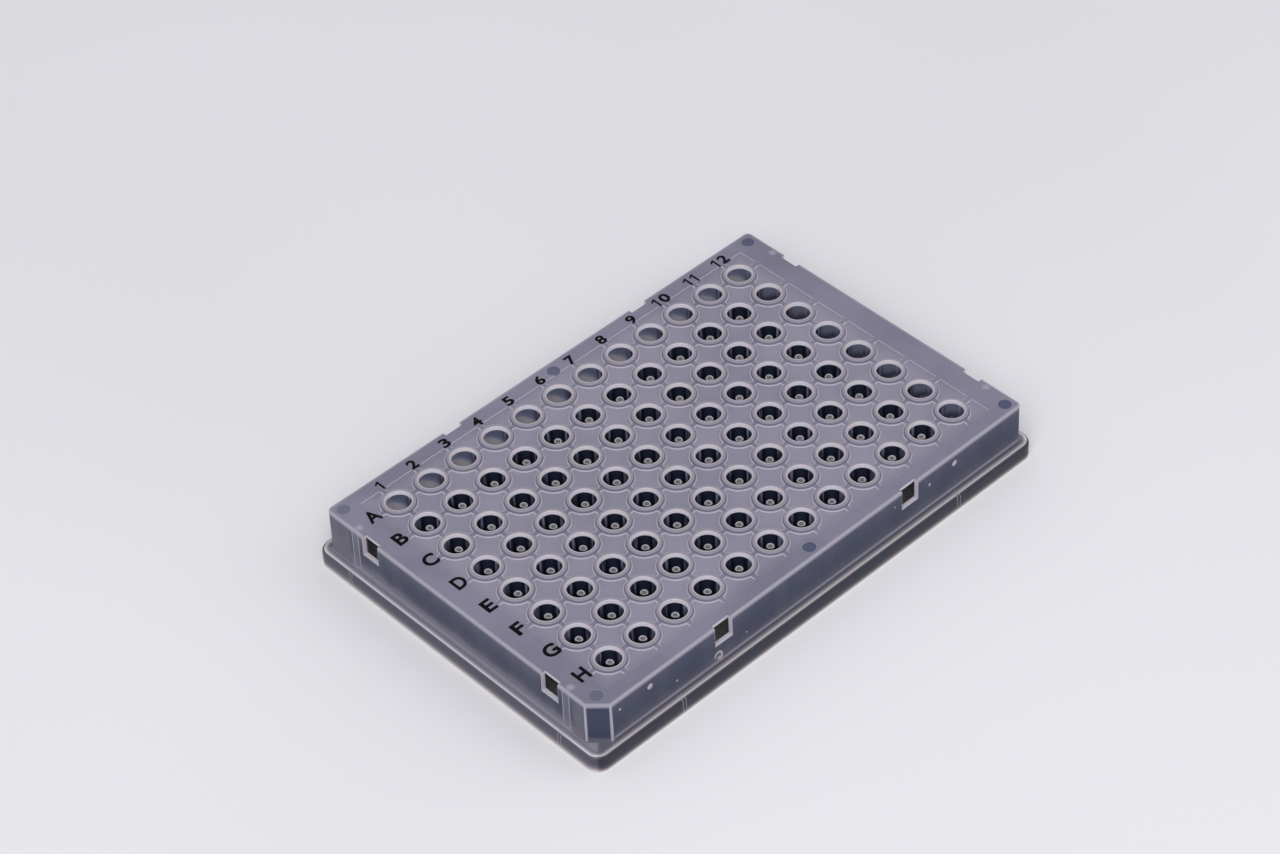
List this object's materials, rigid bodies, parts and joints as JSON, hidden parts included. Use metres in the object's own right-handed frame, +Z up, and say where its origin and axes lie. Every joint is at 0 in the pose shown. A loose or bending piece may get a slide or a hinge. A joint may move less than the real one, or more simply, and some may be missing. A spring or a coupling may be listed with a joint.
{
  "type": "well plate",
  "caption": "Rectangular well plate with a grid of tapered round wells hanging from a flat deck, a notched skirt stepped out to a wider base, and one chamfered corner.",
  "frame": {"origin": "middle of the footprint, on the surface the plate stands on", "axes": "+Z up, +X along the rows from column 1 to column 12, +Y towards row A"},
  "size_m": [0.1278, 0.0854, 0.0151],
  "materials": {
    "clear_plastic": "gloss",
    "label_ink": "matte"
  },
  "bodies": {
    "root": {"well_plate": "clear_plastic"}
  },
  "joints": []
}
